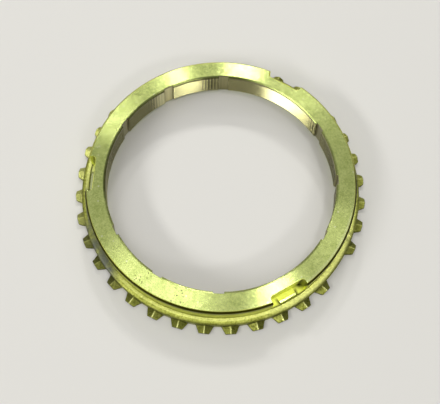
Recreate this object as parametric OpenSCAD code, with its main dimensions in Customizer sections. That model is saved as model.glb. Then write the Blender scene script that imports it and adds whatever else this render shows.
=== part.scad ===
// Synchronizer ring (blocker ring) of a manual gearbox: one piece of forged and turned brass.
// +Z runs along the shaft from the gear side, which lies on z = 0, to the hub side.
// Key slots lie at 60, 180 and 300 degrees from +X, each over an oil groove and between two teeth.

/* [Friction cone] */
// Radius of the cone at its small end, under the hub-side chamfer
cone_small_r = 30.95; // [28:0.05:34]
// Half angle of the cone, measured from the shaft
cone_half_angle = 7; // [5:0.25:9]
// Radial width of the chamfer at the cone's small end
mouth_w = 0.6; // [0.3:0.05:1]
// Height of the chamfer at the cone's small end
mouth_h = 0.4; // [0.2:0.05:0.8]
// Lead-in chamfer at the cone's large end, on the gear side
bore_break = 0.9; // [0.3:0.05:1.2]

/* [Oil grooves] */
// Number of axial grooves that cut through the cone's lands
groove_count = 12; // [6:1:16]
// Width of each groove
groove_w = 2.8; // [1.8:0.1:4]
// Depth of each groove below the cone's lands
groove_depth = 0.55; // [0.3:0.05:0.9]

/* [Collar] */
// Height of the ring from the gear side to the hub-side face
ring_h = 9.2; // [8:0.1:11]
// Width of the flat hub-side face
face_w = 4.45; // [3.6:0.05:6]
// Chamfer round the face's outer edge
edge_break = 0.5; // [0.2:0.05:0.8]
// Draft of the collar's outer wall
wall_draft = 1; // [0:0.5:5]

/* [Flange] */
// Height of the flange's rim and of the channel at the wall's foot
flange_h = 2.9; // [2.4:0.1:3.6]
// Width of the flat channel between the collar's wall and the bead
channel_w = 0.2; // [0.1:0.05:0.4]
// Width of the rounded bead, from the channel to the tooth roots
bead_w = 1.7; // [1.2:0.05:2.4]
// Height of the bead over the flange's rim
bead_h = 0.4; // [0.2:0.05:0.6]

/* [Clutch teeth] */
// Number of tooth places round the flange
tooth_count = 36; // [30:1:40]
// Place that has no tooth, which marks the ring; a value past the last place leaves none out
blank_place = 32; // [0:1:40]
// Height of a tooth from the flange's rim to its tip
tooth_h = 2; // [1.4:0.05:2.8]
// Width of a tooth at its root
tooth_root_w = 4.4; // [3.4:0.1:5]
// Width of a tooth at its tip
tooth_tip_w = 2.1; // [1.4:0.1:2.8]
// Height of the tooth ridges, which point to the sleeve
ridge_h = 1.8; // [1.5:0.1:2.6]
// Slope of the two chamfer faces that meet in a tooth's ridge, from the ring's plane
roof_slope = 30; // [20:1:40]
// Chamfer under the tooth tips, on the gear side
tip_break = 0.4; // [0.1:0.05:0.8]

/* [Key slots] */
// Number of slots for the sliding keys
slot_count = 3; // [2:1:4]
// Width of each slot
slot_w = 10; // [7:0.1:12]
// Depth of each slot at its middle, from the face's outer edge
slot_depth = 1.85; // [1:0.05:2.6]
// Radius of the slot's two inner corners
slot_corner_r = 0.8; // [0.3:0.05:1.2]
// Height of the slot's floor over the channel at the wall's foot
floor_lift = 0.2; // [0.1:0.05:0.4]
// Width of the raised pad on the slot's floor
pad_w = 4.9; // [3:0.1:6]
// Radial thickness of the pad
pad_t = 0.65; // [0.3:0.05:0.9]
// Height of the pad over the slot's floor
pad_h = 0.3; // [0.1:0.05:0.6]
// Gap between the pad and the line of the wall's foot
pad_gap = 0.4; // [0.2:0.05:0.8]

/* [Hidden] */
// Sides of the large circles and of the small ones
ring_fn = 144;
small_fn = 24;
// How far a cut runs past the surface that it shapes, and how far joined forms reach into each other
cut = 2;
bite = 0.6;

function cone_r(z) = cone_small_r + (ring_h - mouth_h - z) * tan(cone_half_angle);

face_in_r = cone_small_r + mouth_w;
face_out_r = face_in_r + face_w;
collar_r = face_out_r + edge_break;
foot_r = collar_r + (ring_h - edge_break - flange_h) * tan(wall_draft);
bead_in_r = foot_r + channel_w;
flange_r = bead_in_r + bead_w;
tip_r = flange_r + tooth_h;
// The bead is the top of a circle, cut off at the flange's rim height
bead_r = (pow(bead_w / 2, 2) + pow(bead_h, 2)) / (2 * bead_h);
// How fast half a tooth's width shrinks with the radius
tooth_taper = (tooth_root_w - tooth_tip_w) / 2 / tooth_h;
slot_back_r = face_out_r - slot_depth;
slot_floor_h = flange_h + floor_lift;

// Half of the ring's cross-section: collar, flange and conical bore
module ring_section() {
    polygon([
        [cone_r(0) + bore_break, 0],
        [flange_r, 0],
        [flange_r, flange_h],
        [foot_r, flange_h],
        [collar_r, ring_h - edge_break],
        [face_out_r, ring_h],
        [face_in_r, ring_h],
        [cone_small_r, ring_h - mouth_h],
        [cone_r(bore_break), bore_break]
    ]);
}

// Rounded top of the flange, as a slice of its circle
module bead_section() {
    intersection() {
        translate([bead_in_r + bead_w / 2, flange_h + bead_h - bead_r])
            circle(r = bead_r, $fn = small_fn);
        translate([bead_in_r, flange_h - bite])
            square([bead_w, bite + bead_h]);
    }
}

// Cut for one axial oil groove, sloped with the cone so that its depth stays the same
module oil_groove() {
    translate([cone_small_r, 0, ring_h - mouth_h])
        rotate([0, -cone_half_angle, 0])
            translate([-cut, -groove_w / 2, -ring_h - cut])
                cube([cut + groove_depth, groove_w, ring_h + 2 * cut]);
}

// Plan of a key slot: a flat back with two rounded corners, open towards the rim
module slot_plan() {
    reach = foot_r + cut - slot_back_r;
    translate([slot_back_r, 0]) {
        translate([slot_corner_r, -slot_w / 2])
            square([reach - slot_corner_r, slot_w]);
        translate([0, slot_corner_r - slot_w / 2])
            square([reach, slot_w - 2 * slot_corner_r]);
        for (side = [-1, 1])
            translate([slot_corner_r, side * (slot_w / 2 - slot_corner_r)])
                circle(r = slot_corner_r, $fn = small_fn);
    }
}

// Cut for one key slot, which stops over the channel and leaves the bead whole
module key_slot() {
    intersection() {
        translate([0, 0, slot_floor_h])
            linear_extrude(ring_h)
                slot_plan();
        cylinder(r = foot_r + channel_w / 2, h = ring_h + cut, $fn = ring_fn);
    }
}

// Raised pad in the middle of a slot's floor
module slot_pad() {
    translate([foot_r - pad_gap - pad_t, -pad_w / 2, slot_floor_h - bite])
        cube([pad_t, pad_w, bite + pad_h]);
}

// One clutch tooth: tapered in plan, with two chamfer faces that meet in a radial ridge
module clutch_tooth() {
    in_r = flange_r - bite;
    out_r = tip_r + bite;
    in_half = tooth_root_w / 2 + bite * tooth_taper;
    out_half = tooth_tip_w / 2 - bite * tooth_taper;
    eave_h = ridge_h - in_half * tan(roof_slope);
    intersection() {
        linear_extrude(ridge_h + cut)
            polygon([[in_r, -in_half], [out_r, -out_half], [out_r, out_half], [in_r, in_half]]);
        translate([in_r, 0, 0])
            rotate([90, 0, 90])
                linear_extrude(out_r - in_r)
                    polygon([
                        [-in_half, -ridge_h],
                        [in_half, -ridge_h],
                        [in_half, eave_h],
                        [0, ridge_h],
                        [-in_half, eave_h]
                    ]);
    }
}

// Turned envelope that gives the teeth their round tips and the chamfer under them
module tooth_blank() {
    rotate_extrude($fn = ring_fn)
        polygon([
            [foot_r, 0],
            [tip_r - tip_break, 0],
            [tip_r, tip_break],
            [tip_r, ridge_h + cut],
            [foot_r, ridge_h + cut]
        ]);
}

module clutch_teeth() {
    pitch = 360 / tooth_count;
    intersection() {
        tooth_blank();
        for (place = [0 : tooth_count - 1])
            if (place != blank_place)
                rotate((place + 0.5) * pitch)
                    clutch_tooth();
    }
}

module blocker_ring() {
    color("#b4b65a") {
        difference() {
            rotate_extrude($fn = ring_fn) {
                ring_section();
                bead_section();
            }
            for (i = [0 : groove_count - 1])
                rotate(i * 360 / groove_count)
                    oil_groove();
            for (i = [0 : slot_count - 1])
                rotate((i + 0.5) * 360 / slot_count)
                    key_slot();
        }
        for (i = [0 : slot_count - 1])
            rotate((i + 0.5) * 360 / slot_count)
                slot_pad();
        clutch_teeth();
    }
}

blocker_ring();
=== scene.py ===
import math

import bpy
import numpy as np
from mathutils import Matrix, Vector


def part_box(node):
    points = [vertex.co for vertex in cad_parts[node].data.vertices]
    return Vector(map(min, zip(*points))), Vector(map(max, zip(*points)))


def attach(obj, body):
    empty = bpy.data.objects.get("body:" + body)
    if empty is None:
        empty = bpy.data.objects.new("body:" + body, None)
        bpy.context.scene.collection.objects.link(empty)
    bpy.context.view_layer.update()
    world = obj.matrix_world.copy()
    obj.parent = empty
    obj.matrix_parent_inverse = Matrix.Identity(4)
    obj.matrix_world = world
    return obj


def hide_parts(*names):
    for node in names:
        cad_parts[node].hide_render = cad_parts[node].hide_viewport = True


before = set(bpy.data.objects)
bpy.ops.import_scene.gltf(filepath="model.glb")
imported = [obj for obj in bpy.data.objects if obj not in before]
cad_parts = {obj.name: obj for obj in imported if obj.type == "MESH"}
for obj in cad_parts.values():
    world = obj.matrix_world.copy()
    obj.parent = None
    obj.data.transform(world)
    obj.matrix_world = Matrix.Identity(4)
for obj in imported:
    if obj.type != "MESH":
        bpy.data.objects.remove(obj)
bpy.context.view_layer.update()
solidLow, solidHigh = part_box("blocker_ring")
print("frame loaded, nodes:", sorted(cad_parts))

mm = 0.001

# the ring's sizes in millimetres and degrees: the solid's, but with teeth that are a little wider and with
# no oil groove under a key slot
ring = {
    "height": (solidHigh[2] - solidLow[2]) / mm,
    "coneSmallR": 30.95, "coneHalfAngle": 7.0, "mouthW": 0.6, "mouthH": 0.4, "boreBreak": 0.9,
    "groovePlaces": 12, "grooveW": 2.8, "grooveDepth": 0.55,
    "faceW": 4.45, "edgeBreak": 0.5, "wallDraft": 1.0,
    "flangeH": 2.9, "channelW": 0.2, "beadW": 1.7, "beadH": 0.4,
    "toothCount": 36, "blankPlace": 32, "toothH": 2.0, "toothRootW": 4.7, "toothTipW": 2.7,
    "ridgeH": 1.8, "roofSlope": 30.0, "tipBreak": 0.4,
    "slotCount": 3, "slotW": 10.0, "slotDepth": 1.85, "slotCornerR": 0.8, "floorLift": 0.2,
    "padW": 4.9, "padT": 0.65, "padH": 0.3, "padGap": 0.4, "padEdge": 0.07,
    # what the tools left on the edges
    "edgeR": 0.12, "fillet": 0.15, "burr": 0.05, "ridgeR": 0.13, "ridgeEdge": 0.27,
    # the cone's fine thread: where in a pitch its rows lie, and how deep each of them is cut
    "threadPitch": 0.55, "threadDepth": 0.13, "threadMargin": 0.35,
    "threadPhase": [0, 0.2, 0.5, 0.7], "threadShape": [0, 1, 1, 0],
    # how uneven the forging is, and dents in its bead: angle, half width in degrees, depth
    "beadWave": 0.02, "waveCount": 12, "wavesRound": (5, 60), "toothWave": 0.05, "seed": 7,
    "dents": [(337.0, 0.7, 0.25), (340.6, 0.8, 0.25)],
    "columnsPerTooth": 16,  # mesh columns in one tooth place
}

tanCone = math.tan(math.radians(ring["coneHalfAngle"]))
topZ = ring["height"]
mouthZ = topZ - ring["mouthH"]
faceInR = ring["coneSmallR"] + ring["mouthW"]
faceOutR = faceInR + ring["faceW"]
collarR = faceOutR + ring["edgeBreak"]
shoulderZ = topZ - ring["edgeBreak"]
tanDraft = math.tan(math.radians(ring["wallDraft"]))
footR = collarR + (shoulderZ - ring["flangeH"]) * tanDraft
beadInR = footR + ring["channelW"]
flangeR = beadInR + ring["beadW"]
tipR = flangeR + ring["toothH"]
slotBackX = faceOutR - ring["slotDepth"]
slotFloorZ = ring["flangeH"] + ring["floorLift"]
crestZ = ring["flangeH"] + ring["beadH"]
grooveOut = ring["grooveDepth"] / math.cos(math.radians(ring["coneHalfAngle"]))
columnCount = ring["toothCount"] * ring["columnsPerTooth"]
column = np.arange(columnCount)


def coneR(z):
    # straight line in section: the radius grows towards the gear side
    return ring["coneSmallR"] + (mouthZ - z) * tanCone


def wallR(z):
    # straight line in section: the collar's wall leans out by its draft on the way down
    return collarR + (shoulderZ - z) * tanDraft


def toothHalf(r):
    # half a tooth's width: straight taper from root to tip
    taper = (ring["toothRootW"] - ring["toothTipW"]) / 2 / ring["toothH"]
    return ring["toothRootW"] / 2 - (r - flangeR) * taper


def layColumns(count, firstColumn, halfWidths):
    # A feature repeats count times. Columns at a feature keep a fixed distance from its radial centre
    # line, and the columns between two features share out the arc that is left.
    pitch = columnCount // count
    offset = (column - firstColumn + pitch // 2) % pitch - pitch // 2
    centre = np.round((column - offset) * 360.0 / columnCount)
    last = len(halfWidths) - 1
    reach = np.abs(offset)
    return {
        "offset": offset,
        "reach": reach,
        "centre": np.radians(centre),
        "y": np.sign(offset) * np.asarray(halfWidths)[np.minimum(reach, last)],
        "share": np.clip((reach - last) / (pitch / 2 - last), 0, 1),
        "half": math.pi / count,
    }


def columnAngles(lay, radius):
    # angle = centre + arcsin(y / r) at a feature, then an even share of the rest of the arc
    edge = np.arcsin(np.clip(lay["y"] / radius, -1, 1))
    return lay["centre"] + edge + lay["share"] * (np.sign(lay["offset"]) * lay["half"] - edge)


def rows(*values):
    # stacks one row of the grid per value, each spread over all columns
    return np.stack([np.broadcast_to(np.asarray(value, float), (columnCount,)) for value in values])


def downRows(values):
    # one value for each row, to be spread over all columns
    return np.array(values)[:, None]


inset = 0.08  # from a side to the column before it, on the floor or the top
lean = 0.02  # how far an upright side leans, so that its two columns or rows stay apart

grooveHalf = ring["grooveW"] / 2
grooveSide = 3  # column at the foot of a groove's side
grooveLay = layColumns(ring["groovePlaces"], 0, [
    0, 0.55 * grooveHalf, grooveHalf - inset, grooveHalf, grooveHalf + lean, grooveHalf + ring["edgeR"]])
slotAngles = (np.arange(ring["slotCount"]) + 0.5) * 360 / ring["slotCount"]
isGroove = ~np.isin(np.round(np.degrees(grooveLay["centre"])), slotAngles)
inGroove = (grooveLay["reach"] <= grooveSide) & isGroove
onGrooveCorner = (grooveLay["reach"] == grooveSide) & isGroove
onGrooveEdge = (grooveLay["reach"] == grooveSide + 1) & isGroove

slotHalf = ring["slotW"] / 2
padHalf = ring["padW"] / 2
padSide = 3  # column at a pad's side
slotSide = 11  # column at the foot of a slot's end wall
cornerY = slotHalf - ring["slotCornerR"]
cornerSteps = cornerY + ring["slotCornerR"] * np.sin(np.radians([0, 20, 40, 60, 75]))
slotLay = layColumns(ring["slotCount"], columnCount // ring["slotCount"] // 2, [
    0, padHalf / 2, padHalf - inset, padHalf, padHalf + lean, (padHalf + cornerY) / 2,
    *cornerSteps, slotHalf, slotHalf + lean, slotHalf + ring["edgeR"]])
inSlot = slotLay["reach"] <= slotSide
onSlotEdge = slotLay["reach"] == slotSide + 1
onPad = slotLay["reach"] <= padSide

toothSide = 4  # column at a tooth's side; the root's fillet and the gap follow
toothPlace = column // ring["columnsPerTooth"]
toothOffset = column % ring["columnsPerTooth"] - ring["columnsPerTooth"] // 2
toothReach = np.abs(toothOffset)
isBlank = toothPlace == ring["blankPlace"]
onTooth = (toothReach <= toothSide) & ~isBlank
onRoot = (toothReach == toothSide + 1) & ~isBlank
rng = np.random.default_rng(ring["seed"])
toothLift = rng.uniform(-1, 1, ring["toothCount"])[toothPlace] * ring["toothWave"]
toothShift = rng.uniform(-1, 1, ring["toothCount"])[toothPlace] * ring["toothWave"]
print("columns laid out:", columnCount)


def mouthRows():
    # chamfer between cone and face, as a line in section; the groove floors break through it and leave the
    # rest of the line above the share that they cut
    edge = ring["edgeR"]
    cut = grooveOut / (ring["mouthW"] / ring["mouthH"] + tanCone) / ring["mouthH"]
    grooveSteps = cut + (1 - cut) * np.array([0.3, 0.7])
    landSteps = [0.12, 0.86]
    steps = [np.where(inGroove, groove, land) for groove, land in zip(grooveSteps, landSteps)]
    startZ = np.where(inGroove, mouthZ + cut * ring["mouthH"] - 0.5 * edge, mouthZ - 0.8 * edge)
    startR = coneR(startZ) + np.where(inGroove, grooveOut, np.where(onGrooveEdge, ring["burr"], 0))
    radius = rows(startR, *[ring["coneSmallR"] + ring["mouthW"] * step for step in steps], faceInR + edge)
    return radius, rows(startZ, *[mouthZ + ring["mouthH"] * step for step in steps], topZ)


def slotBack():
    # plan of the slot's back: straight, then a quarter circle into the end wall
    past = np.clip(np.abs(slotLay["y"]) - cornerY, 0, ring["slotCornerR"])
    return slotBackX + ring["slotCornerR"] - np.sqrt(ring["slotCornerR"] ** 2 - past ** 2)


def faceRows():
    # flat face, from the mouth chamfer out to a slot's back, and between the slots to the circle through
    # the ends of their backs
    edge = ring["edgeR"]
    edgeX = slotBackX + ring["slotCornerR"] - edge
    endR = np.where(inSlot, np.hypot(slotBack() - edge, slotLay["y"]), np.hypot(edgeX, slotHalf))
    startR = faceInR + edge
    circles = [startR + (slotBackX - edge - startR) * share for share in (0.4, 0.8)]
    return rows(*circles, endR), rows(topZ, topZ, topZ)


diagonal = 0.7  # across and down share of a length on a 45 degree slope
cornerCut = 0.3  # how far a rounding's middle lies in from the sharp corner, as a share of its radius
padRows = slice(5, 11)  # those of the collar's rows that form the pad


def landProfile():
    # section between the slots: the face's edge, the chamfer and the wall. Beside a slot it dips by the
    # edge radius, and the dip fades down the wall.
    edge = ring["edgeR"]
    dip = np.where(onSlotEdge, edge, 0.0)
    slant, slantDip = diagonal * edge, diagonal * dip
    fade = [1, 1, 1, 1, 1, 0.7, 0.3, 0, 0]
    wallZ = np.linspace(shoulderZ - edge, crestZ + 2 * ring["fillet"], len(fade))
    edgeX = slotBackX + ring["slotCornerR"]
    startR = np.where(onSlotEdge, np.hypot(edgeX, slotHalf), 0.5 * (edgeX + faceOutR))
    radius = [startR, faceOutR - edge, faceOutR + slant - slantDip, collarR - slant - slantDip]
    radius += [wallR(z) - share * dip for z, share in zip(wallZ, fade)]
    z = [topZ - 0.2 * dip, topZ - dip, topZ - slant - slantDip, shoulderZ + slant - slantDip]
    return [*radius, footR], [*z, *wallZ, crestZ - ring["burr"]]


def slotProfile():
    # section in a slot: back wall, fillet, floor with its raised pad, and the narrow trench at the bead's
    # foot. Columns beside the pad spread their rows evenly over the floor.
    edge, fillet, burr = ring["edgeR"], ring["fillet"], ring["burr"]
    y = slotLay["y"]
    back = slotBack()
    padOut = footR - ring["padGap"]
    padIn = padOut - ring["padT"]
    padTop = slotFloorZ + ring["padH"]
    padLow = padTop - ring["padEdge"]
    brow = np.where(slotLay["reach"] == padSide, padLow, padTop)
    padX = [padIn - lean, padIn, padIn + ring["padEdge"], padOut - ring["padEdge"], padOut, padOut + lean]
    padZ = [slotFloorZ, padLow, brow, brow, padLow, slotFloorZ]
    rimX = np.sqrt((footR - burr) ** 2 - np.minimum(np.abs(y), slotHalf) ** 2)
    steps = len(padX) + 1
    floorX = [back + fillet + (rimX - back - fillet) * k / steps for k in range(1, steps)]
    padded = slotLay["reach"] <= padSide + 1
    x = [back - cornerCut * edge, back, back, back, back + fillet]
    x += [np.where(padded, pad, floor) for pad, floor in zip(padX, floorX)]
    trenchR = footR - 0.2 * burr
    radius = [np.hypot(value, y) for value in [*x, rimX]] + [trenchR, trenchR]
    z = [topZ - cornerCut * edge, topZ - edge, (topZ + slotFloorZ) / 2, slotFloorZ + fillet, slotFloorZ]
    z += [np.where(onPad, pad, slotFloorZ) for pad in padZ]
    return radius, [*z, slotFloorZ, slotFloorZ - burr, ring["flangeH"] + burr]


def collarRows():
    # the slot's section in the columns of a slot and the land's section in all others
    pairs = zip(slotProfile(), landProfile())
    return tuple(rows(*[np.where(inSlot, slot, land) for slot, land in zip(*pair)]) for pair in pairs)


def beadRows():
    # The forging fills the channel, so the flange is level from the wall's foot to the bead's crest and
    # then falls along the bead's arc. A sum of sine waves and the dents' bell curves make it uneven.
    half = ring["beadW"] / 2
    beadR = (half ** 2 + ring["beadH"] ** 2) / (2 * ring["beadH"])
    reach = math.asin(half / beadR)
    angle = downRows(np.linspace(-reach, reach, 9))
    turn = column * 2 * np.pi / columnCount
    count = ring["waveCount"]
    waves = rng.integers(*ring["wavesRound"], count)
    phases = rng.uniform(0, 2 * np.pi, (count, 2))
    wave = sum(
        np.sin(n * turn + start + angle * 2 * math.sin(skew)) for n, (start, skew) in zip(waves, phases))
    crown = np.cos(angle / reach * np.pi / 2)
    wave = wave / (count / 2) * ring["beadWave"] * crown
    for centre, width, depth in ring["dents"]:
        dent = np.exp(-((np.degrees(turn) - centre) / width) ** 2)
        wave = wave - depth * dent * crown
    bead = beadR + wave
    radius = beadInR + half + bead * np.sin(angle)
    z = crestZ - beadR + bead * np.cos(np.maximum(angle, 0))
    channel = rows(footR + ring["burr"], beadInR - 0.6 * ring["burr"])
    return np.vstack([channel, radius]), np.vstack([rows(crestZ, crestZ), z])


def toothRows():
    # A gap column runs straight down the rim. A tooth column runs out along the roof, down the tip and back
    # under the tooth. The roof falls from the ridge by the slope times the distance from it.
    edge, fillet = ring["edgeR"], ring["fillet"]
    middleR = (flangeR + tipR) / 2
    pathR = downRows([
        flangeR, flangeR, flangeR + fillet, middleR, tipR - edge,
        tipR, tipR, tipR - ring["tipBreak"], middleR, flangeR])
    half = toothHalf(pathR)
    across = np.select(
        [toothReach == k for k in range(toothSide)],
        [0 * half, 0 * half + ring["ridgeR"], 0 * half + ring["ridgeEdge"], half - edge], half)
    across[-1] *= 0.85  # draws the underside in to the root's fillet
    slope = math.tan(math.radians(ring["roofSlope"]))
    roof = ring["ridgeH"] + toothLift - np.maximum(across, 0.5 * ring["ridgeR"]) * slope
    roof = roof - np.where(toothReach == toothSide, edge, 0)
    rim = ring["toothRootW"] / 2
    rimZ = ring["flangeH"] - edge
    eave = ring["ridgeH"] - rim * slope
    gapShares = np.array([1, 0.85, 0.7, 0.55, 0.4, 0.22, 0.08, 0])
    gapZ = downRows([rimZ, eave - edge, *(eave - edge - 0.5 * edge) * gapShares])
    underZ = rows(ring["tipBreak"], 0, 0, 0)
    toothZ = np.vstack([rows(rimZ), roof[1:2] + fillet, roof[2:5], roof[5:6] - edge, underZ])
    # the root's column swings round the fillet: out from the rim, and sideways away from the tooth
    rootR = flangeR + fillet * downRows([0, 0, 0.6, 1, 1, 1, 1, 1, 1, 0])
    rootY = fillet * downRows([0.55, 0.55, 0.2, 0, 0, 0, 0, 0, 0, -0.33])
    rootY = rootY + np.minimum(toothHalf(rootR), rim)
    radius = np.where(onTooth, pathR, np.where(onRoot, rootR, flangeR))
    z = np.where(onTooth, toothZ, gapZ)
    z[-2, onRoot] = 0
    gapAngle = math.asin((rim + fillet) / flangeR)
    pitchHalf = math.pi / ring["toothCount"]
    gap = np.select(
        [toothReach == toothSide + 2, toothReach == toothSide + 3],
        [gapAngle, 0.5 * (gapAngle + pitchHalf)], pitchHalf)
    side = np.sign(toothOffset)
    angle = np.where(onTooth, np.arcsin((side * across + toothShift) / pathR), side * gap)
    angle = np.where(onRoot, np.arcsin((side * rootY + toothShift) / rootR), angle)
    even = toothOffset / ring["columnsPerTooth"] * 2 * pitchHalf
    angle = np.where(isBlank, even, angle)
    return radius, z, (2 * toothPlace + 1) * pitchHalf + angle


# from the lead-in chamfer's upper edge to the rows below and above it in a groove, and above it on a land
edgeBelow, edgeAbove, landAbove = 0.04, 0.05, 0.07


def gearSideRows():
    # flat gear side in to the bore, then the lead-in chamfer, which the groove floors cut short
    mouthR = coneR(0) + ring["boreBreak"]
    innerR = mouthR + ring["edgeR"]
    flat = [flangeR + (innerR - flangeR) * share for share in (1 / 3, 2 / 3, 1)]
    grooveZ = ring["boreBreak"] - grooveOut - edgeBelow
    z = [0.08 * ring["boreBreak"], np.where(inGroove, grooveZ, 0.93 * ring["boreBreak"])]
    return rows(*flat, *[mouthR - height * (1 + tanCone) for height in z]), rows(0, 0, 0, *z)


def coneRows():
    # cone with a fine thread, whose turns are drawn as rings: crest, root, root, crest in each pitch.
    # The groove floors run parallel to the cone and carry no thread.
    start = ring["boreBreak"] + ring["threadMargin"]
    turns = int((mouthZ - ring["threadMargin"] - start) / ring["threadPitch"])
    threadZ = start + ring["threadPitch"] * (downRows(np.arange(turns)) + ring["threadPhase"]).ravel()
    z = downRows([ring["boreBreak"] + landAbove, *threadZ])
    cutIn = downRows([0, *np.tile(ring["threadShape"], turns) * ring["threadDepth"]])
    grooveZ = downRows([ring["boreBreak"] - grooveOut + edgeAbove, *threadZ])
    corner = np.where(onGrooveCorner, 0.5 * ring["edgeR"], 0)
    grooveR = np.hypot(coneR(grooveZ) + grooveOut - corner, grooveLay["y"])
    landR = coneR(z) + cutIn + np.where(onGrooveEdge, 0.8 * ring["burr"], 0)
    return np.where(inGroove, grooveR, landR), np.where(inGroove, grooveZ, z)


def blendAngles(first, second, weights):
    # angle of each row = first layout's + weight times the difference
    weight = downRows(weights)
    return first * (1 - weight) + second * weight


def gridAngles(parts, toothAngle):
    # each part keeps to its own layout of columns, and face, bead and gear side blend from one to the next
    grooved = {name: columnAngles(grooveLay, part[0]) for name, part in parts.items()}
    slotted = {name: columnAngles(slotLay, part[0]) for name, part in parts.items()}
    smooth = np.linspace(0, 1, 9)
    smooth = smooth * smooth * (3 - 2 * smooth)
    return np.vstack([
        grooved["mouth"],
        blendAngles(grooved["face"], slotted["face"], [0.5, 1, 1]),
        slotted["collar"],
        blendAngles(slotted["bead"], toothAngle[:1], [0, 0, *smooth]),
        toothAngle,
        blendAngles(toothAngle[-1:], grooved["gearSide"], [1 / 3, 2 / 3, 1, 1, 1]),
        grooved["cone"],
    ])


def gridQuads(rowCount):
    # faces between neighbouring rows and columns, both closed to a ring, and their places on the flat grid
    i, j = np.meshgrid(np.arange(rowCount), column, indexing="ij")
    iNext, jNext = (i + 1) % rowCount, (j + 1) % columnCount
    corners = [(i, j), (iNext, j), (iNext, jNext), (i, jNext)]
    quads = np.stack([down * columnCount + across for down, across in corners], axis=-1).reshape(-1, 4)
    left, right = j / columnCount, (j + 1) / columnCount
    low, high = i / rowCount, (i + 1) / rowCount
    return quads, np.stack([left, low, left, high, right, high, right, low], axis=-1)


faced, turned, milled, forged, threaded = range(5)  # finishes, in the order of the ring's materials


def gridFinish(rowCount, span):
    # finish of each face, by the part of the section that it lies on
    collar = span["collar"]
    slotFace = inSlot | onSlotEdge & (slotLay["offset"] < 0)
    padFace = onPad & (slotLay["offset"] < padSide)
    finish = np.full((rowCount, columnCount), faced, np.int32)
    finish[collar.start + 1:collar.stop] = turned
    finish[collar.start - 1:collar.stop][:, slotFace] = milled
    finish[collar.start + padRows.start + 2, padFace] = faced  # top of the pad
    finish[span["bead"].start:span["tooth"].stop] = forged
    finish[span["cone"].start - 1:] = threaded
    finish[0] = threaded
    return finish


def vertexNormals(points, quads):
    # mean of the neighbouring faces' normals, each weighted by its area, so that broad faces stay flat
    a, b, c, d = (points[quads[:, k]] for k in range(4))
    faceNormal = np.cross(c - a, d - b)
    total = np.zeros_like(points)
    for k in range(4):
        np.add.at(total, quads[:, k], faceNormal)
    return total / np.linalg.norm(total, axis=1, keepdims=True), faceNormal


def cornerNormals(points, quads, levelTo, threadFrom):
    # near level faces of the first rows stay flat to their edges; the thread's facets keep their own slope,
    # so there each corner takes the mean of two neighbours in its row
    vertexNormal, faceNormal = vertexNormals(points, quads)
    corner = vertexNormal[quads]
    nearLevel = 0.96  # cosine of the steepest slope that counts as level
    level = faceNormal[:, 2] > nearLevel * np.linalg.norm(faceNormal, axis=1)
    level[levelTo * columnCount:] = False
    corner[level] = (0, 0, 1)
    thread = faceNormal.reshape(-1, columnCount, 3)[threadFrom:]
    before = np.roll(thread, 1, axis=1) + thread
    after = np.roll(before, -1, axis=1)
    facets = np.stack([before, before, after, after], axis=2).reshape(-1, 4, 3)
    corner[threadFrom * columnCount:] = facets / np.linalg.norm(facets, axis=2, keepdims=True)
    return corner.reshape(-1, 3)


def buildRing():
    # closed grid: the columns run round the axis, and the rows follow the section all the way round
    toothR, toothZ, toothAngle = toothRows()
    parts = {
        "mouth": mouthRows(), "face": faceRows(), "collar": collarRows(), "bead": beadRows(),
        "tooth": (toothR, toothZ), "gearSide": gearSideRows(), "cone": coneRows(),
    }
    radius = np.vstack([part[0] for part in parts.values()])
    z = np.vstack([part[1] for part in parts.values()])
    angle = gridAngles(parts, toothAngle)
    points = np.stack([radius * np.cos(angle), radius * np.sin(angle), z], axis=-1).reshape(-1, 3) * mm
    rowCount = len(radius)
    quads, uv = gridQuads(rowCount)
    ends = np.cumsum([len(part[0]) for part in parts.values()]).tolist()
    span = {name: slice(start, end) for name, start, end in zip(parts, [0, *ends], ends)}
    mesh = bpy.data.meshes.new("synchronizerRing")
    mesh.from_pydata(points.tolist(), [], quads.tolist())
    layer = mesh.uv_layers.new(name="around")
    layer.data.foreach_set("uv", uv.ravel().astype(np.float32))
    mesh.polygons.foreach_set("use_smooth", np.ones(len(quads), bool))
    mesh.polygons.foreach_set("material_index", gridFinish(rowCount, span).ravel())
    paintMarks(mesh, span, angle)
    mesh.validate()
    normals = cornerNormals(points, quads, span["collar"].stop - 1, span["cone"].start + 1)
    mesh.normals_split_custom_set(normals.tolist())
    mesh.update()
    print("ring grid:", rowCount, "rows,", 2 * len(quads), "triangles")
    return mesh


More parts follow.
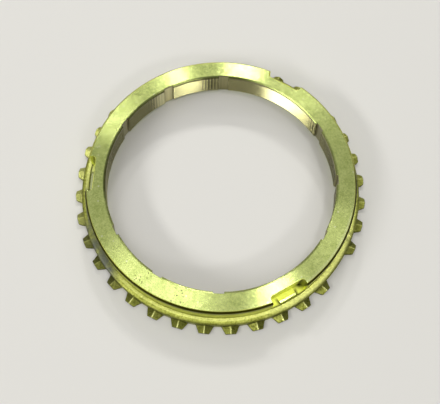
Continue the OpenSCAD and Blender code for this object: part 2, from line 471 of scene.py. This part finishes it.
# where the ring is painted dark for shade, stained or pitted, or painted bright for highlights, glare and
# pale
# patches: share of the full effect, angles in degrees
marks = {
    # painted shade in rows of the collar: from the face's edge down the wall, or down a slot's back and out
    # over its floor
    "collarShade": [0, 0, 1, 1, 1, 0.6, 0.25, 0.12, 0.08, 0.05, 0.05, 0.05, 0.1, 0.3],
    "slotShade": [0, 0, 0, 0, 0, 0, 0, 0, 0, 0, 0.15, 0.75, 1, 1],
    "cornerShade": [0, 0.8, 1, 1, 1, 0.7, 0.35, 0.12, 0, 0, 0, 0, 0, 0],
    "padEndShade": 1.0, "padFootShade": 0.8,
    # painted shade in rows from the wall's foot out over the bead, then out along a tooth's roof and back
    # under it
    "beadShade": [0.3, 0.1, 0, 0, 0, 0, 0.05, 0.15, 0.3, 0.45, 0.6],
    "toothShade": [0.55, 0.78, 0.65, 0.5, 0.45, 0.65, 0.8, 0.8, 0.6, 0.6],
    "gapShade": 0.55, "rootShade": 0.8,
    # painted shade in rows of the mouth's chamfer, and in rows of one pitch of the thread
    "mouthShade": [0.6, 0.8, 0.7, 0], "threadShade": [0, 0, 0.6, 0.6],
    "grooveShade": 0.3, "grooveCornerShade": 0.75,
    # arcs that a mark covers: first angle, last angle, fade; faint is what is left of it elsewhere
    "lineArc": (178.0, 372.0, 12.0), "faint": 0.12,
    "mouthArc": (70.0, 198.0, 10.0), "mouthFaint": 0.3,
    "nearMouthArc": (206.0, 300.0, 8.0), "nearMouth": 0.45,
    "tarnishArc": (172.0, 226.0, 6.0), "tarnish": 0.3,
    "stainArc": (196.0, 228.0, 6.0), "stainOnTooth": 0.35, "stainInGap": 0.8,
    "stainLine": (182.0, 204.0, 3.0), "stainLineRows": 6,
    # arcs of teeth painted lighter or darker than the others
    "lighterTeeth": (148.0, 198.0, 10.0), "lightened": 0.3,
    "darkerTeeth": (198.0, 231.0, 6.0), "darkTeeth": (327.0, 353.0, 6.0), "darkened": 0.7,
    "fullDark": 0.85, "darkShare": 0.5,
    # slot ends with painted shade in their corners, and pitted spots: angle and half width
    "shadedCorners": {307.1: 1.6, 172.6: 1.6}, "pitSpots": {235.4: 3.5, 252.7: 3.0},
    # painted highlights along edges: rows of the face's rim, and rows of the tooth ridges from root to tip
    "rimHighlight": [0.15, 0.5, 0.1], "rimArc": (300.0, 352.0, 10.0),
    "ridgeHighlight": [0.1, 0.4, 0.9, 1.0, 0.9, 0.4], "ridgeArc": (226.0, 324.0, 10.0), "ridgeFaint": 0.35,
    "besideRidge": 0.8, "shadeOffRidge": 0.6,
    "paleTeeth": (150.0, 206.0, 8.0), "pale": 0.4,
    # painted highlight in rows from the wall's foot out: the flange all round, and an arc of the bead
    "flangeHighlight": [0, 0.45, 0.45, 0.45, 0.45, 0.45, 0, 0, 0, 0, 0],
    "beadHighlight": [0, 0.4, 0.4, 0.4, 0.4, 0.4, 0.4, 0.4, 0.4, 0, 0], "beadArc": (288.0, 350.0, 12.0),
    # the slot painted paler, towards the face's colour
    "paleSlot": {180.0: 12.0}, "slotPaling": 0.8,
    # painted glare on a groove and on lands of the cone, and where tool chatter shows
    "brightGroove": {120.0: 3.0}, "glareLands": {125.0: 6.0, 184.0: 14.0}, "landGlare": 0.45,
    "chatterSpots": {35.0: 3.0, 97.0: 4.5, 129.0: 5.0},
}


def arcShare(turn, arc):
    # 1 between the arc's two angles, falling to 0 over the fade inside each end
    first, last, fade = arc
    ahead = (turn - first) % 360
    return np.clip(np.minimum(ahead, last - first - ahead) / fade, 0, 1)


def spotShare(turn, spots):
    # bell curves round the spots' angles
    return sum(np.exp(-((turn - spot) / width) ** 2) for spot, width in spots.items())


def mouthShade(turn):
    # painted shade on the mouth's chamfer: strongest along one arc, weaker along the near one, faint
    # elsewhere
    near = np.maximum(marks["nearMouth"] * arcShare(turn, marks["nearMouthArc"]), marks["mouthFaint"])
    return downRows(marks["mouthShade"]) * np.maximum(arcShare(turn, marks["mouthArc"]), near)


def collarShade(turn):
    # painted shade: a dark band on the chamfer that fades down the wall; in the slots, in two corners,
    # round the pad and along the bead
    land = downRows(marks["collarShade"]) * np.maximum(arcShare(turn, marks["lineArc"]), marks["faint"])
    corners = downRows(marks["cornerShade"]) * spotShare(turn, marks["shadedCorners"])
    slot = np.maximum(downRows(marks["slotShade"]), corners)
    slot[padRows, slotLay["reach"] == padSide + 1] = marks["padEndShade"]
    slot[padRows.stop - 1, onPad] = marks["padFootShade"]
    return np.where(inSlot, slot, land)


def toothShade(turn):
    # painted shade in roots, gaps and tips: less on the lighter teeth, a share of the way to full dark on
    # darker ones
    shadeAndDirt = np.where(onTooth, downRows(marks["toothShade"]), marks["gapShade"])
    shadeAndDirt = np.where(onRoot, marks["rootShade"], shadeAndDirt)
    shadeAndDirt = shadeAndDirt * (1 - marks["lightened"] * arcShare(turn, marks["lighterTeeth"]))
    dark = marks["darkened"] * arcShare(turn, marks["darkTeeth"])
    darkerShare = np.maximum(arcShare(turn, marks["darkerTeeth"]), dark)
    return shadeAndDirt + (marks["fullDark"] - shadeAndDirt) * marks["darkShare"] * darkerShare


def coneShade(turn):
    # painted shade on the upper flank of each turn of the thread, the groove floors and, darkest, their
    # corners
    turns = len(turn) // len(marks["threadShade"])
    shadeAndDirt = downRows([0, *np.tile(marks["threadShade"], turns)])
    bright = spotShare(turn, marks["brightGroove"])
    shadeAndDirt = np.where(inGroove, marks["grooveShade"] * (1 - bright), shadeAndDirt)
    return np.where(onGrooveCorner, marks["grooveCornerShade"], shadeAndDirt)


def stainShare(turn, span):
    # one arc of bead and teeth, and a line beside the wall that runs on from it
    bead, tooth = span["bead"], span["tooth"]
    stain = arcShare(turn, marks["stainArc"])
    beside = slice(bead.start, bead.start + marks["stainLineRows"])
    stain[beside] = np.maximum(stain[beside], arcShare(turn[beside], marks["stainLine"]))
    stain[tooth.start + 2:tooth.stop] *= np.where(onTooth, marks["stainOnTooth"], marks["stainInGap"])
    stain[:bead.start] = 0
    stain[tooth.stop:] = 0
    return stain


def ridgeShare(turn):
    # painted highlight: a line along each tooth's ridge, faint outside its arc
    line = np.select([isBlank, toothReach == 0, toothReach == 1], [0, 1, marks["besideRidge"]], 0)
    near = np.maximum(arcShare(turn, marks["ridgeArc"]), marks["ridgeFaint"])
    return line * downRows(marks["ridgeHighlight"]) * near


def wearAndSheenShare(turn, span, ridgeRows, ridge):
    # painted highlights on edges, ridges and bead, the paler slot and teeth, painted glare on the cone's
    # lands
    collar, bead, cone = span["collar"], span["bead"], span["cone"]
    wearAndSheen = np.zeros(turn.shape)
    rim = slice(collar.start, collar.start + len(marks["rimHighlight"]))
    wearAndSheen[rim] = downRows(marks["rimHighlight"]) * arcShare(turn[rim], marks["rimArc"])
    slot = slice(rim.stop, collar.stop)
    wearAndSheen[slot] = np.where(inSlot, marks["slotPaling"] * spotShare(turn[slot], marks["paleSlot"]), 0)
    sheenMask = downRows(marks["beadHighlight"]) * arcShare(turn[bead], marks["beadArc"])
    wearAndSheen[bead] = np.maximum(downRows(marks["flangeHighlight"]), sheenMask)
    pale = marks["pale"] * arcShare(turn[ridgeRows], marks["paleTeeth"])
    wearAndSheen[ridgeRows] = np.maximum(ridge, np.where(onTooth, pale, 0))
    land = marks["landGlare"] * spotShare(turn[cone], marks["glareLands"])
    wearAndSheen[cone] = np.where(inGroove, spotShare(turn[cone], marks["brightGroove"]), land)
    return wearAndSheen


def paintMarks(mesh, span, angle):
    # five values at each point of the grid, for the materials to read
    turn = np.degrees(angle) % 360
    firstRidge = span["tooth"].start + 1
    ridgeRows = slice(firstRidge, firstRidge + len(marks["ridgeHighlight"]))
    forging = slice(span["bead"].start, span["tooth"].stop)
    ridge = ridgeShare(turn[ridgeRows])
    shadeAndDirt = np.zeros(turn.shape)
    shadeAndDirt[span["mouth"]] = mouthShade(turn[span["mouth"]])
    shadeAndDirt[span["collar"]] = collarShade(turn[span["collar"]])
    shadeAndDirt[span["bead"]] = downRows(marks["beadShade"])
    shadeAndDirt[span["tooth"]] = toothShade(turn[span["tooth"]])
    tarnish = marks["tarnish"] * arcShare(turn[forging], marks["tarnishArc"])
    shadeAndDirt[forging] = np.maximum(shadeAndDirt[forging], tarnish)
    shadeAndDirt[ridgeRows] *= 1 - marks["shadeOffRidge"] * ridge
    shadeAndDirt[span["cone"]] = coneShade(turn[span["cone"]])
    stain = stainShare(turn, span)
    wearAndSheen = wearAndSheenShare(turn, span, ridgeRows, ridge)
    wearAndSheen[forging] *= 1 - stain[forging]
    pits = spotShare(turn, marks["pitSpots"])
    pits[span["collar"].start + 2:] = 0  # they end at the face's edge
    chatter = spotShare(turn, marks["chatterSpots"])
    painted = {"shadeAndDirt": shadeAndDirt, "stain": stain, "pits": pits, "wearAndSheen": wearAndSheen, "chatter": chatter}
    for name, values in painted.items():
        layer = mesh.attributes.new(name, "FLOAT", "POINT")
        layer.data.foreach_set("value", values.ravel().astype(np.float32))


def linearColour(code):
    # sRGB hex to linear light
    part = np.array([int(code[k:k + 2], 16) for k in (1, 3, 5)]) / 255
    linear = np.where(part <= 0.04045, part / 12.92, ((part + 0.055) / 1.055) ** 2.4)
    return (*linear.tolist(), 1.0)


def addNode(tree, kind, inputs=None, **settings):
    # a node with its settings; an input is a value or a link from another node
    made = tree.nodes.new(kind)
    for key, value in settings.items():
        setattr(made, key, value)
    for key, value in (inputs or {}).items():
        if isinstance(value, bpy.types.NodeSocket):
            tree.links.new(value, made.inputs[key])
        else:
            made.inputs[key].default_value = value
    return made


def newMaterial(name):
    # a material with an empty node tree
    made = bpy.data.materials.new(name)
    made.use_nodes = True
    made.node_tree.nodes.clear()
    return made, made.node_tree


def markOver(tree, colour, mark, over):
    # a second colour laid over the first where the ring's painted value says
    share = addNode(tree, "ShaderNodeAttribute", attribute_name=mark).outputs["Fac"]
    return addNode(tree, "ShaderNodeMix", {
        "Factor": share, "A": colour, "B": linearColour(over)}, data_type="RGBA").outputs["Result"]


def facedBrass():
    # brass faced on a lathe: the tool's rings stretch each highlight into a narrow fan across the face
    made, tree = newMaterial("brass, lathe faced")
    place = addNode(tree, "ShaderNodeTexCoord").outputs["Object"]
    flat = addNode(tree, "ShaderNodeVectorMath", {
        0: place, 1: (1, 1, 0)}, operation="MULTIPLY").outputs["Vector"]
    radius = addNode(tree, "ShaderNodeVectorMath", {0: flat}, operation="LENGTH").outputs["Value"]
    # the tool's feed of 0.12 mm is too fine to show, so its rings are drawn at 0.35 mm
    rings = addNode(tree, "ShaderNodeTexNoise", {
        "W": radius, "Scale": 1 / (0.35 * mm), "Detail": 2}, noise_dimensions="1D").outputs["Fac"]
    patch = addNode(tree, "ShaderNodeTexNoise", {
        "Vector": place, "Scale": 1 / (2.2 * mm), "Detail": 3}).outputs["Fac"]
    grain = addNode(tree, "ShaderNodeTexNoise", {
        "Vector": place, "Scale": 1 / (0.45 * mm), "Detail": 3}).outputs["Fac"]
    mottle = addNode(tree, "ShaderNodeMath", {
        0: patch, 1: 0.6, 2: grain}, operation="MULTIPLY_ADD").outputs["Value"]
    light = addNode(tree, "ShaderNodeMapRange", {
        "Value": mottle, "From Min": 0.52, "From Max": 1.08}).outputs["Result"]
    body = addNode(tree, "ShaderNodeMix", {
        "Factor": light, "A": linearColour("#bccb70"),
        "B": linearColour("#eaf59c")}, data_type="RGBA").outputs["Result"]
    # bright nicks up to 0.6 mm across, and a few long scratches
    dot = addNode(tree, "ShaderNodeTexVoronoi", {
        "Vector": place, "Scale": 1 / (2.4 * mm)}).outputs["Distance"]
    nick = addNode(tree, "ShaderNodeMapRange", {
        "Value": dot, "From Min": 0.05, "From Max": 0.13, "To Min": 0.8, "To Max": 0}).outputs["Result"]
    laid = addNode(tree, "ShaderNodeMapping", {
        "Vector": place, "Rotation": (0, 0, math.radians(32)),
        "Scale": (1 / (9 * mm), 1 / (0.3 * mm), 1)}).outputs["Vector"]
    streak = addNode(tree, "ShaderNodeTexNoise", {
        "Vector": laid, "Scale": 1, "Detail": 2}).outputs["Fac"]
    scratch = addNode(tree, "ShaderNodeMapRange", {
        "Value": streak, "From Min": 0.73, "From Max": 0.8, "To Max": 0.6}).outputs["Result"]
    knocked = addNode(tree, "ShaderNodeMath", {
        0: nick, 1: scratch}, operation="MAXIMUM").outputs["Value"]
    scratched = addNode(tree, "ShaderNodeMix", {
        "Factor": knocked, "A": body, "B": linearColour("#f6f9cc")}, data_type="RGBA").outputs["Result"]
    # casting pits up to 0.5 mm across that the facing cut opened
    cell = addNode(tree, "ShaderNodeTexVoronoi", {
        "Vector": place, "Scale": 1 / (0.75 * mm)}).outputs["Distance"]
    hole = addNode(tree, "ShaderNodeMapRange", {
        "Value": cell, "From Min": 0.16, "From Max": 0.32, "To Min": 1, "To Max": 0}).outputs["Result"]
    spread = addNode(tree, "ShaderNodeAttribute", attribute_name="pits").outputs["Fac"]
    pit = addNode(tree, "ShaderNodeMath", {0: hole, 1: spread}, operation="MULTIPLY").outputs["Value"]
    pitted = addNode(tree, "ShaderNodeMix", {
        "Factor": pit, "A": scratched, "B": linearColour("#5c6130")}, data_type="RGBA").outputs["Result"]
    rough = addNode(tree, "ShaderNodeMapRange", {
        "Value": patch, "From Min": 0.3, "From Max": 0.7,
        "To Min": 0.245, "To Max": 0.265}).outputs["Result"]
    relief = addNode(tree, "ShaderNodeMath", {
        0: rings, 1: 0.5, 2: grain}, operation="MULTIPLY_ADD").outputs["Value"]
    dented = addNode(tree, "ShaderNodeMath", {
        0: relief, 1: pit}, operation="SUBTRACT").outputs["Value"]
    bump = addNode(tree, "ShaderNodeBump", {"Height": dented, "Strength": 0.35, "Distance": 0.02 * mm})
    around = addNode(tree, "ShaderNodeTangent", direction_type="RADIAL", axis="Z")
    # painted highlight along the face's rim
    rimSheened = markOver(tree, pitted, "wearAndSheen", "#f4f8c6")
    # painted shade on the mouth's chamfer
    shader = addNode(tree, "ShaderNodeBsdfPrincipled", {
        "Base Color": markOver(tree, rimSheened, "shadeAndDirt", "#3a3c08"), "Metallic": 1.0, "Roughness": rough,
        "Anisotropic": 1.0, "Anisotropic Rotation": 0.25, "Tangent": around.outputs["Tangent"],
        "Normal": bump.outputs["Normal"]})
    addNode(tree, "ShaderNodeOutputMaterial", {"Surface": shader.outputs["BSDF"]})
    return made


def turnedBrass():
    # turned collar wall under a chamfer with painted shade: dull olive with faint lines round it
    made, tree = newMaterial("brass, turned, with painted shade")
    place = addNode(tree, "ShaderNodeTexCoord").outputs["Object"]
    # tool marks run round the wall, so the pattern is squeezed along the axis to lines of 0.3 mm
    lines = addNode(tree, "ShaderNodeMapping", {
        "Vector": place, "Scale": (1 / (6 * mm), 1 / (6 * mm), 1 / (0.3 * mm))}).outputs["Vector"]
    cut = addNode(tree, "ShaderNodeTexNoise", {"Vector": lines, "Scale": 1, "Detail": 3}).outputs["Fac"]
    body = addNode(tree, "ShaderNodeMix", {
        "Factor": cut, "A": linearColour("#b2b650"),
        "B": linearColour("#dade76")}, data_type="RGBA").outputs["Result"]
    rough = addNode(tree, "ShaderNodeMapRange", {
        "Value": cut, "From Min": 0.3, "From Max": 0.7,
        "To Min": 0.34, "To Max": 0.46}).outputs["Result"]
    bump = addNode(tree, "ShaderNodeBump", {"Height": cut, "Strength": 0.5, "Distance": 0.02 * mm})
    shader = addNode(tree, "ShaderNodeBsdfPrincipled", {
        "Base Color": markOver(tree, body, "shadeAndDirt", "#434304"), "Metallic": 1.0, "Roughness": rough,
        "Normal": bump.outputs["Normal"]})
    addNode(tree, "ShaderNodeOutputMaterial", {"Surface": shader.outputs["BSDF"]})
    return made


def milledBrass():
    # slots cut by an end mill after the rest, with upright cutter lines: bright yellow that is partly fresh
    # brass and partly a painted reflection of the slot's own brass walls
    made, tree = newMaterial("brass, milled")
    place = addNode(tree, "ShaderNodeTexCoord").outputs["Object"]
    upright = addNode(tree, "ShaderNodeMapping", {
        "Vector": place, "Scale": (1 / (0.5 * mm), 1 / (0.5 * mm), 1 / (6 * mm))}).outputs["Vector"]
    cut = addNode(tree, "ShaderNodeTexNoise", {
        "Vector": upright, "Scale": 1, "Detail": 3}).outputs["Fac"]
    body = addNode(tree, "ShaderNodeMix", {
        "Factor": cut, "A": linearColour("#e6ee62"),
        "B": linearColour("#fbff7a")}, data_type="RGBA").outputs["Result"]
    rough = addNode(tree, "ShaderNodeMapRange", {
        "Value": cut, "From Min": 0.3, "From Max": 0.7,
        "To Min": 0.45, "To Max": 0.57}).outputs["Result"]
    bump = addNode(tree, "ShaderNodeBump", {"Height": cut, "Strength": 0.4, "Distance": 0.015 * mm})
    # the slot painted paler, towards the face's colour
    paled = markOver(tree, body, "wearAndSheen", "#d8dd9c")
    # painted shade in the slot's corners, round the pad and in the trench at the bead's foot
    shader = addNode(tree, "ShaderNodeBsdfPrincipled", {
        "Base Color": markOver(tree, paled, "shadeAndDirt", "#262a06"), "Metallic": 1.0, "Roughness": rough,
        "Normal": bump.outputs["Normal"]})
    addNode(tree, "ShaderNodeOutputMaterial", {"Surface": shader.outputs["BSDF"]})
    return made


def forgedBrass():
    # bead and teeth as the die left them: a blasted, grainy skin that breaks highlights into specks
    made, tree = newMaterial("brass, hot forged")
    place = addNode(tree, "ShaderNodeTexCoord").outputs["Object"]
    grain = addNode(tree, "ShaderNodeTexNoise", {
        "Vector": place, "Scale": 1 / (0.55 * mm), "Detail": 4, "Roughness": 0.6}).outputs["Fac"]
    patch = addNode(tree, "ShaderNodeTexNoise", {
        "Vector": place, "Scale": 1 / (3.5 * mm), "Detail": 3}).outputs["Fac"]
    mottle = addNode(tree, "ShaderNodeMath", {
        0: patch, 1: 0.5, 2: grain}, operation="MULTIPLY_ADD").outputs["Value"]
    light = addNode(tree, "ShaderNodeMapRange", {
        "Value": mottle, "From Min": 0.55, "From Max": 0.95}).outputs["Result"]
    body = addNode(tree, "ShaderNodeMix", {
        "Factor": light, "A": linearColour("#9fa540"),
        "B": linearColour("#d5d970")}, data_type="RGBA").outputs["Result"]
    speck = addNode(tree, "ShaderNodeMapRange", {
        "Value": grain, "From Min": 0.3, "From Max": 0.47,
        "To Min": 0.55, "To Max": 0}).outputs["Result"]
    specked = addNode(tree, "ShaderNodeMix", {
        "Factor": speck, "A": body, "B": linearColour("#6d6c30")}, data_type="RGBA").outputs["Result"]
    # dark stain, torn by the larger patches
    share = addNode(tree, "ShaderNodeAttribute", attribute_name="stain").outputs["Fac"]
    torn = addNode(tree, "ShaderNodeMapRange", {
        "Value": patch, "From Min": 0.36, "From Max": 0.6,
        "To Min": 0.3, "To Max": 0.95}).outputs["Result"]
    amount = addNode(tree, "ShaderNodeMath", {
        0: share, 1: torn}, operation="MULTIPLY").outputs["Value"]
    stained = addNode(tree, "ShaderNodeMix", {
        "Factor": amount, "A": specked, "B": linearColour("#747772")}, data_type="RGBA").outputs["Result"]
    # painted highlights on the flange, the bead and the tooth ridges, and paler teeth
    sheened = markOver(tree, stained, "wearAndSheen", "#f4f6a0")
    rough = addNode(tree, "ShaderNodeMapRange", {
        "Value": grain, "From Min": 0.3, "From Max": 0.7,
        "To Min": 0.6, "To Max": 0.42}).outputs["Result"]
    # where highlights and pale patches are painted, the roughness is lowered too
    sheenMask = addNode(tree, "ShaderNodeAttribute", attribute_name="wearAndSheen").outputs["Fac"]
    burnished = addNode(tree, "ShaderNodeMath", {
        0: sheenMask, 1: -0.18, 2: rough}, operation="MULTIPLY_ADD").outputs["Value"]
    bump = addNode(tree, "ShaderNodeBump", {"Height": grain, "Strength": 0.8, "Distance": 0.1 * mm})
    # painted shade in the tooth roots, gaps and tips and on the bead's outer roll, and tarnish on one arc
    shader = addNode(tree, "ShaderNodeBsdfPrincipled", {
        "Base Color": markOver(tree, sheened, "shadeAndDirt", "#42421c"), "Metallic": 1.0, "Roughness": burnished,
        "Normal": bump.outputs["Normal"]})
    addNode(tree, "ShaderNodeOutputMaterial", {"Surface": shader.outputs["BSDF"]})
    return made


def threadedBrass():
    # friction cone: the thread's flanks mirror the lamps, so whole lands glare while their neighbours stay
    # dark, and chatter from the tool breaks the glare into upright stripes at its ends
    made, tree = newMaterial("brass, fine threaded")
    place = addNode(tree, "ShaderNodeTexCoord").outputs["Object"]
    axis = addNode(tree, "ShaderNodeSeparateXYZ", {"Vector": place})
    turn = addNode(tree, "ShaderNodeMath", {
        0: axis.outputs["Y"], 1: axis.outputs["X"]}, operation="ARCTAN2").outputs["Value"]
    # one upright stripe in 0.9 mm of the cone's arc
    stripes = addNode(tree, "ShaderNodeMath", {
        0: turn, 1: 2 * math.pi * ring["coneSmallR"] / 0.9}, operation="MULTIPLY").outputs["Value"]
    wave = addNode(tree, "ShaderNodeMath", {0: stripes}, operation="SINE").outputs["Value"]
    patch = addNode(tree, "ShaderNodeTexNoise", {
        "Vector": place, "Scale": 1 / (9 * mm), "Detail": 2}).outputs["Fac"]
    # a greyed, brownish body: partly oil film on the brass, partly a painted reflection of brown
    # surroundings
    body = addNode(tree, "ShaderNodeMix", {
        "Factor": patch, "A": linearColour("#a8a368"),
        "B": linearColour("#c9c592")}, data_type="RGBA").outputs["Result"]
    rough = addNode(tree, "ShaderNodeMapRange", {
        "Value": patch, "From Min": 0.3, "From Max": 0.7,
        "To Min": 0.16, "To Max": 0.21}).outputs["Result"]
    stripe = addNode(tree, "ShaderNodeMapRange", {
        "Value": wave, "From Min": -0.1, "From Max": 0.4, "To Min": 0.85, "To Max": 0}).outputs["Result"]
    chatter = addNode(tree, "ShaderNodeAttribute", attribute_name="chatter").outputs["Fac"]
    shaded = addNode(tree, "ShaderNodeMath", {
        0: stripe, 1: chatter}, operation="MULTIPLY").outputs["Value"]
    striped = addNode(tree, "ShaderNodeMix", {
        "Factor": shaded, "A": body, "B": linearColour("#3c3818")}, data_type="RGBA").outputs["Result"]
    # painted glare on some lands of the cone and on one groove
    sheened = markOver(tree, striped, "wearAndSheen", "#f4eebe")
    # where glare is painted, the roughness is raised too, so that the glare spreads over it
    sheenMask = addNode(tree, "ShaderNodeAttribute", attribute_name="wearAndSheen").outputs["Fac"]
    hazy = addNode(tree, "ShaderNodeMath", {
        0: sheenMask, 1: 0.35, 2: rough}, operation="MULTIPLY_ADD").outputs["Value"]
    # painted shade on the thread's shaded flanks, the groove floors and their corners
    shader = addNode(tree, "ShaderNodeBsdfPrincipled", {
        "Base Color": markOver(tree, sheened, "shadeAndDirt", "#3c3010"), "Metallic": 1.0, "Roughness": hazy})
    addNode(tree, "ShaderNodeOutputMaterial", {"Surface": shader.outputs["BSDF"]})
    return made


ringObject = bpy.data.objects.new("synchronizer_ring", buildRing())
bpy.context.scene.collection.objects.link(ringObject)
for material in (facedBrass(), turnedBrass(), milledBrass(), forgedBrass(), threadedBrass()):
    ringObject.data.materials.append(material)
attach(ringObject, "root")
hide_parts("blocker_ring")
print("ring dressed")

studio = {
    # floor: side in metres, and how far it lies under the ring in millimetres
    "floorSize": 3.0, "floorDrop": 0.02, "floorColour": "#dad8d2",
    # the room is dim up to one height on the unit sphere and light from another
    "roomDim": 0.10, "roomLight": 0.45, "dimHeight": 0.3, "lightHeight": 0.85,
    # softboxes: direction (x, y share of a unit vector), width and height in metres, power in watts
    "boxDistance": 0.9,
    "softboxes": {
        "keyLeft": {"toward": (-0.219, -0.024), "sides": (0.36, 0.36), "power": 0.6},
        "slotSide": {"toward": (0.215, -0.03), "sides": (0.11, 0.11), "power": 1.0},
        "farPanel": {"toward": (0.0, 0.57), "sides": (0.6, 0.35), "power": 0.2},
        "farMiddle": {"toward": (0.08, 0.78), "sides": (0.13, 0.09), "power": 1.6},
        "farLeft": {"toward": (-0.177, 0.77), "sides": (0.07, 0.07), "power": 0.75},
        "farRight": {"toward": (0.352, 0.736), "sides": (0.18, 0.18), "power": 0.25},
        "backLeft": {"toward": (-0.405, 0.584), "sides": (0.20, 0.16), "power": 0.45},
        "sideRight": {"toward": (0.47, 0.13), "sides": (0.26, 0.26), "power": 0.15},
        "coneRight": {"toward": (-0.680, -0.430), "sides": (0.68, 0.13), "power": 2.7},
        "coneLeft": {"toward": (0.367, -0.654), "sides": (0.31, 0.11), "power": 1.1},
    },
}


def buildFloor():
    # level square under the ring, pale and matt
    half = studio["floorSize"] / 2
    line = np.linspace(-half, half, 2)
    x, y = np.meshgrid(line, line)
    points = np.stack([x, y, 0 * x - studio["floorDrop"] * mm], axis=-1).reshape(-1, 3)
    mesh = bpy.data.meshes.new("floor")
    mesh.from_pydata(points.tolist(), [], [(0, 1, 3, 2)])
    made, tree = newMaterial("paper, matt pale")
    shader = addNode(tree, "ShaderNodeBsdfPrincipled", {
        "Base Color": linearColour(studio["floorColour"]), "Roughness": 0.9, "Specular IOR Level": 0.1})
    addNode(tree, "ShaderNodeOutputMaterial", {"Surface": shader.outputs["BSDF"]})
    mesh.materials.append(made)
    floor = bpy.data.objects.new("floor", mesh)
    bpy.context.scene.collection.objects.link(floor)


def buildWorld():
    # grey room, dim round the horizon and light overhead
    world = bpy.data.worlds.new("studio")
    world.use_nodes = True
    tree = world.node_tree
    tree.nodes.clear()
    toward = addNode(tree, "ShaderNodeTexCoord").outputs["Generated"]
    height = addNode(tree, "ShaderNodeSeparateXYZ", {"Vector": toward}).outputs["Z"]
    level = addNode(tree, "ShaderNodeMapRange", {
        "Value": height, "From Min": studio["dimHeight"], "From Max": studio["lightHeight"],
        "To Min": studio["roomDim"], "To Max": studio["roomLight"]}, interpolation_type="SMOOTHSTEP")
    sky = addNode(tree, "ShaderNodeBackground", {
        "Color": (1, 1, 1, 1), "Strength": level.outputs["Result"]})
    addNode(tree, "ShaderNodeOutputWorld", {"Surface": sky.outputs["Background"]})
    bpy.context.scene.world = world


def buildLights():
    # elliptical softboxes on a sphere round the ring, each facing its centre
    for name, box in studio["softboxes"].items():
        x, y = box["toward"]
        toward = Vector((x, y, math.sqrt(1 - x * x - y * y)))
        light = bpy.data.lights.new(name, "AREA")
        light.shape = "ELLIPSE"
        light.size, light.size_y = box["sides"]
        light.energy = box["power"]
        lamp = bpy.data.objects.new(name, light)
        lamp.location = toward * studio["boxDistance"]
        lamp.rotation_mode = "QUATERNION"
        lamp.rotation_quaternion = toward.to_track_quat("Z", "Y")
        bpy.context.scene.collection.objects.link(lamp)


# camera of the photograph's view: place in millimetres, angles in degrees, focal length in image pixels,
# nearest distance in metres
view = {
    "imageWidth": 440, "focalPixels": 535.8, "sensorWidth": 36.0, "nearest": 0.005,
    "place": (-0.09, -56.40, 141.45), "tilt": 69.645, "roll": -2.088, "turn": -0.68,
}


def buildCamera():
    # looks down by tilt towards +Y, rolled about its own axis, then turned about the ring's axis
    tilt, roll = math.radians(view["tilt"]), math.radians(view["roll"])
    forward = Vector((0, math.cos(tilt), -math.sin(tilt)))
    level = Vector((0, math.sin(tilt), math.cos(tilt)))
    right = math.cos(roll) * Vector((1, 0, 0)) - math.sin(roll) * level
    up = math.sin(roll) * Vector((1, 0, 0)) + math.cos(roll) * level
    axes = Matrix((right, up, -forward)).transposed().to_4x4()
    place = Matrix.Translation(Vector(view["place"]) * mm)
    data = bpy.data.cameras.new("photoView")
    data.sensor_fit = "HORIZONTAL"
    data.sensor_width = view["sensorWidth"]
    data.lens = view["focalPixels"] / view["imageWidth"] * view["sensorWidth"]
    data.clip_start = view["nearest"]
    camera = bpy.data.objects.new("photoView", data)
    camera.matrix_world = Matrix.Rotation(math.radians(view["turn"]), 4, "Z") @ place @ axes
    bpy.context.scene.collection.objects.link(camera)
    bpy.context.scene.camera = camera


buildFloor()
buildWorld()
buildLights()
buildCamera()
bpy.context.scene.view_settings.view_transform = "Standard"
print("studio set up")
